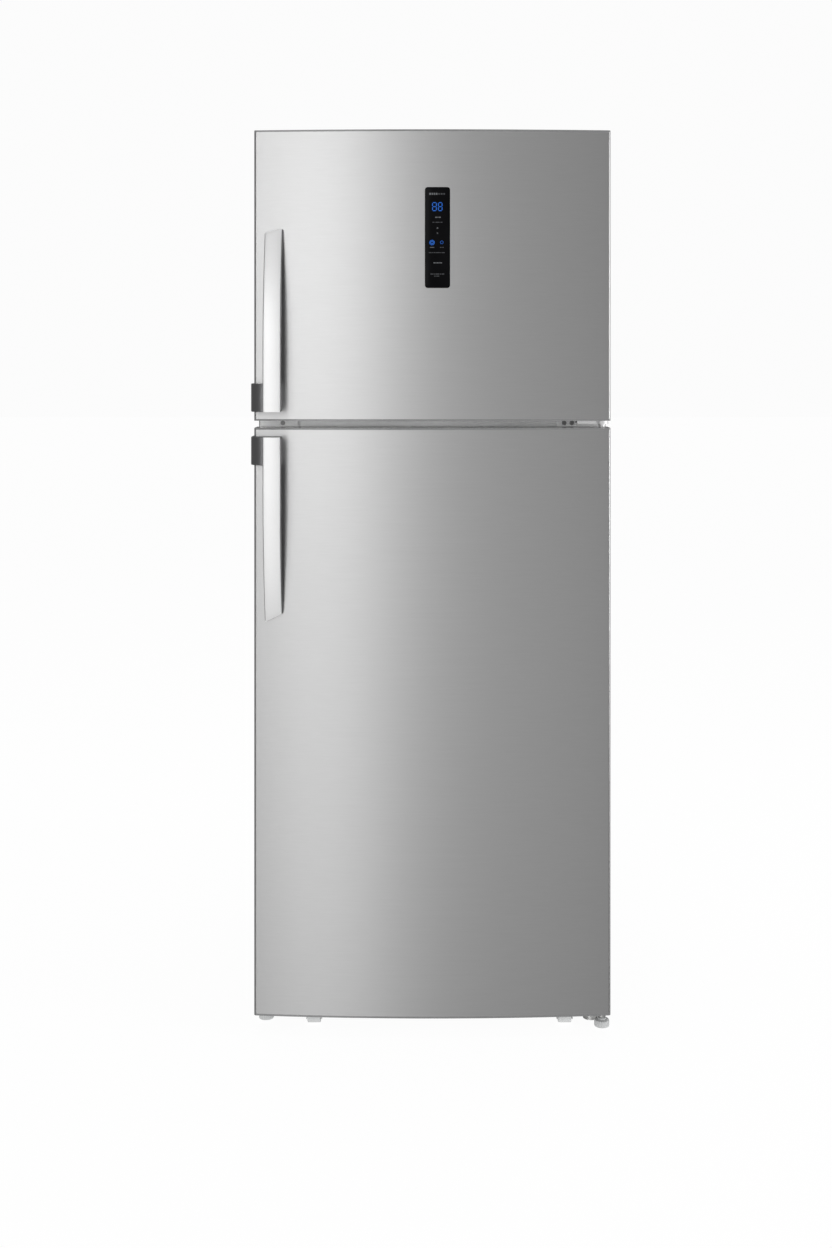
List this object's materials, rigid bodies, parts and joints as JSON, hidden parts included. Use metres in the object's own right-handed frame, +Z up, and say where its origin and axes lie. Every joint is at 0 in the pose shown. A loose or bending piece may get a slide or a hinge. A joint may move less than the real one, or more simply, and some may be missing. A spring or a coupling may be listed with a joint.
{
  "type": "top freezer refrigerator",
  "caption": "Tall two-door refrigerator with the freezer on top, bowed brushed-steel doors, bright bar handles on the left, a dark touch display and levelling feet.",
  "frame": {"origin": "on the floor, at the centre of the part's footprint", "axes": "+Z up, the doors' front faces -Y, +X is to the right of a person who faces the doors"},
  "size_m": [0.706, 0.732, 1.775],
  "materials": {
    "door_steel": "satin",
    "handle_metal": "satin",
    "dark_plastic": "satin",
    "cap_plastic": "satin",
    "grey_plastic": "satin",
    "cabinet_paint": "satin",
    "rail_paint": "satin",
    "black_paint": "satin",
    "zinc_steel": "satin",
    "white_plastic": "satin",
    "clear_plastic": "gloss",
    "pane_glass": "gloss",
    "display_glass": "gloss",
    "seal_rubber": "matte",
    "foam": "matte",
    "frost_aluminium": "satin",
    "roller_plastic": "satin"
  },
  "bodies": {
    "cabinet": {"cabinet_wrapper": "cabinet_paint", "base_pan": "zinc_steel", "back_panel": "zinc_steel", "cabinet_foam": "foam", "freezer_liner": "white_plastic", "fridge_liner": "white_plastic", "centre_rail": "rail_paint", "hinge_hole_cover": "grey_plastic", "top_hinge": "zinc_steel", "top_hinge_cover": "cap_plastic", "middle_hinge": "zinc_steel", "bottom_hinge": "zinc_steel", "cabinet_screws": "zinc_steel", "base_brackets": "zinc_steel", "freezer_shelf": "white_plastic", "evaporator": "frost_aluminium", "evaporator_cover": "white_plastic", "fan_motor": "dark_plastic", "ice_tray_frame": "white_plastic", "glass_shelves": "pane_glass", "shelf_trims": "white_plastic", "air_duct": "white_plastic", "lamp": "clear_plastic", "compressor": "black_paint", "condenser": "black_paint", "drain_pan": "grey_plastic", "power_inlet": "dark_plastic"},
    "freezer_door": {"freezer_door_skin": "door_steel", "freezer_door_foam": "foam", "freezer_door_liner": "white_plastic", "freezer_door_end_caps": "cap_plastic", "freezer_door_gasket": "seal_rubber", "freezer_handle_face": "handle_metal", "freezer_handle_core": "dark_plastic", "freezer_handle_bracket": "dark_plastic", "display_panel": "display_glass", "freezer_door_bin": "clear_plastic"},
    "fridge_door": {"fridge_door_skin": "door_steel", "fridge_door_foam": "foam", "fridge_door_liner": "white_plastic", "fridge_door_end_caps": "cap_plastic", "fridge_door_gasket": "seal_rubber", "fridge_handle_face": "handle_metal", "fridge_handle_core": "dark_plastic", "fridge_handle_bracket": "dark_plastic", "fridge_door_bins": "clear_plastic"},
    "foot_left": {"foot_left": "roller_plastic"},
    "foot_right": {"foot_right": "roller_plastic"},
    "front_roller_left": {"front_roller_left": "roller_plastic"},
    "front_roller_right": {"front_roller_right": "roller_plastic"},
    "rear_roller_left": {"rear_roller_left": "roller_plastic"},
    "rear_roller_right": {"rear_roller_right": "roller_plastic"},
    "fan": {"evaporator_fan": "grey_plastic"},
    "ice_tray": {"ice_tray": "white_plastic"},
    "ice_box": {"ice_box": "clear_plastic"},
    "crisper_left": {"crisper_drawer_left": "clear_plastic"},
    "crisper_right": {"crisper_drawer_right": "clear_plastic"},
    "humidity_slider": {"humidity_slider": "grey_plastic"},
    "temperature_knob": {"temperature_knob": "grey_plastic"},
    "dairy_cover": {"dairy_cover": "clear_plastic"}
  },
  "joints": [
    {"name": "freezer_door_hinge", "type": "hinge", "parent": "cabinet", "child": "freezer_door", "pos_m": [0.337, -0.272, 1.75], "axis": [0, 0, 1], "range_deg": [0, 120]},
    {"name": "fridge_door_hinge", "type": "hinge", "parent": "cabinet", "child": "fridge_door", "pos_m": [0.337, -0.272, 0.6], "axis": [0, 0, 1], "range_deg": [0, 120]},
    {"name": "crisper_left_slide", "type": "slide", "parent": "cabinet", "child": "crisper_left", "axis": [0, -1, 0], "range_m": [0, 0.18]},
    {"name": "crisper_right_slide", "type": "slide", "parent": "cabinet", "child": "crisper_right", "axis": [0, -1, 0], "range_m": [0, 0.18]},
    {"name": "ice_box_slide", "type": "slide", "parent": "cabinet", "child": "ice_box", "axis": [0, -1, 0], "range_m": [0, 0.15]},
    {"name": "ice_tray_twist", "type": "hinge", "parent": "cabinet", "child": "ice_tray", "pos_m": [-0.195, 0, 1.63], "axis": [0, 1, 0], "range_deg": [0, 150], "stiffness_Nm_per_rad": 0.35},
    {"name": "dairy_cover_hinge", "type": "hinge", "parent": "fridge_door", "child": "dairy_cover", "pos_m": [0, -0.2402, 1.03275], "axis": [1, 0, 0], "range_deg": [0, 85]},
    {"name": "humidity_slide", "type": "slide", "parent": "cabinet", "child": "humidity_slider", "axis": [1, 0, 0], "range_m": [-0.035, 0.035]},
    {"name": "temperature_knob_turn", "type": "hinge", "parent": "cabinet", "child": "temperature_knob", "pos_m": [0, 0.2541, 1.102], "axis": [0, -1, 0], "range_deg": [-135, 135]},
    {"name": "evaporator_fan_spin", "type": "hinge", "parent": "cabinet", "child": "fan", "pos_m": [0, 0.212, 1.59], "axis": [0, 1, 0], "continuous": true},
    {"name": "foot_left_turn", "type": "hinge", "parent": "cabinet", "child": "foot_left", "pos_m": [-0.334, -0.235, 0.01], "axis": [0, 0, 1], "continuous": true},
    {"name": "foot_right_turn", "type": "hinge", "parent": "cabinet", "child": "foot_right", "pos_m": [0.337, -0.272, 0.01], "axis": [0, 0, 1], "continuous": true},
    {"name": "front_roller_left_spin", "type": "hinge", "parent": "cabinet", "child": "front_roller_left", "pos_m": [-0.236, -0.255, 0.0153], "axis": [1, 0, 0], "continuous": true},
    {"name": "front_roller_right_spin", "type": "hinge", "parent": "cabinet", "child": "front_roller_right", "pos_m": [0.264, -0.255, 0.0153], "axis": [1, 0, 0], "continuous": true},
    {"name": "rear_roller_left_spin", "type": "hinge", "parent": "cabinet", "child": "rear_roller_left", "pos_m": [-0.321, 0.3, 0.014], "axis": [1, 0, 0], "continuous": true},
    {"name": "rear_roller_right_spin", "type": "hinge", "parent": "cabinet", "child": "rear_roller_right", "pos_m": [0.321, 0.3, 0.014], "axis": [1, 0, 0], "continuous": true}
  ],
  "couplings": [
    {"joint": "crisper_left_slide", "follows": "fridge_door_hinge", "m_per_rad": 0.0859},
    {"joint": "crisper_right_slide", "follows": "fridge_door_hinge", "m_per_rad": 0.0859},
    {"joint": "ice_box_slide", "follows": "freezer_door_hinge", "m_per_rad": 0.0716}
  ]
}
